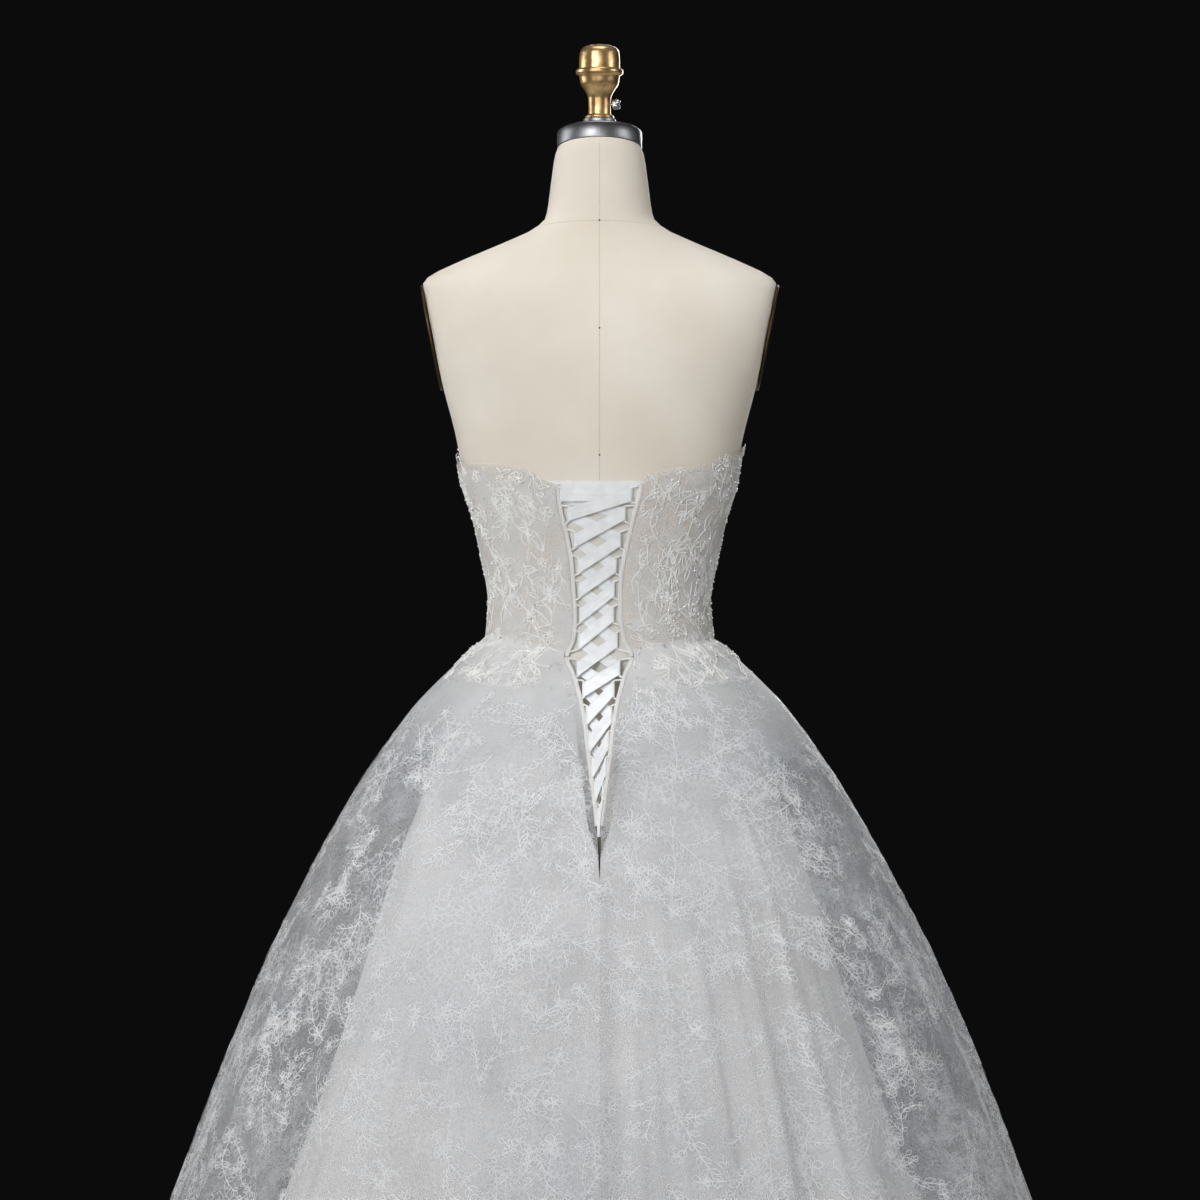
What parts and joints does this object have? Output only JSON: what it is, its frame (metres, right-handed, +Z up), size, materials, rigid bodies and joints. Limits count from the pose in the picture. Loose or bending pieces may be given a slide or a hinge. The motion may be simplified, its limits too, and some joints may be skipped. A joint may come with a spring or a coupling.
{
  "type": "wedding dress on a dress form",
  "caption": "Strapless lace wedding dress with a corset-laced back and a full embroidered net skirt, standing on a limbless dress form with a round base",
  "frame": {"origin": "on the floor, under the middle of the stand's round base", "axes": "+Z up; the laced back of the dress faces -Y and its front +Y; +X is the wearer's right"},
  "size_m": [1.2157, 1.0524, 1.6779],
  "materials": {
    "lace": "corded floral lace on nude net, small pearl beads",
    "embroidered_net": "sheer ivory net with corded leaf and blossom sprays",
    "lining": "soft opaque ivory lining with a slight sheen",
    "plain_net": "plain pale net, slightly sheer",
    "satin": "white satin, soft sheen along the ribbon",
    "linen": "matt cream linen stretched over padding",
    "bronze": "dull bronze paint",
    "dark_steel": "turned dark steel, brushed round",
    "aged_gold": "aged gold paint over a moulded knob",
    "bright_steel": "plain bright steel",
    "black_iron": "black iron, half matt"
  },
  "bodies": {
    "dress_and_form": {"bodice_front": "lace", "bodice_side_left": "lace", "bodice_side_right": "lace", "bodice_back_left": "lace", "bodice_back_right": "lace", "skirt_front": "embroidered_net", "skirt_back_left": "embroidered_net", "skirt_back_right": "embroidered_net", "lining_front": "lining", "lining_back_left": "lining", "lining_back_right": "lining", "modesty_panel": "plain_net", "lacing_ribbon": "satin", "bodice_loops_left": "satin", "bodice_loops_right": "satin", "skirt_loops_left": "satin", "skirt_loops_right": "satin", "form_body": "linen", "arm_plate_left": "bronze", "arm_plate_right": "bronze", "neck_cap": "dark_steel", "finial": "aged_gold", "stand_pole": "bright_steel", "stand_base": "black_iron"},
    "screw": {"thumb_screw": "bright_steel"}
  },
  "joints": [
    {"name": "screw_turn", "type": "hinge", "parent": "dress_and_form", "child": "screw", "pos_m": [0.014, 0, 1.6135], "axis": [1, 0, 0], "range_deg": [0, 720]}
  ]
}
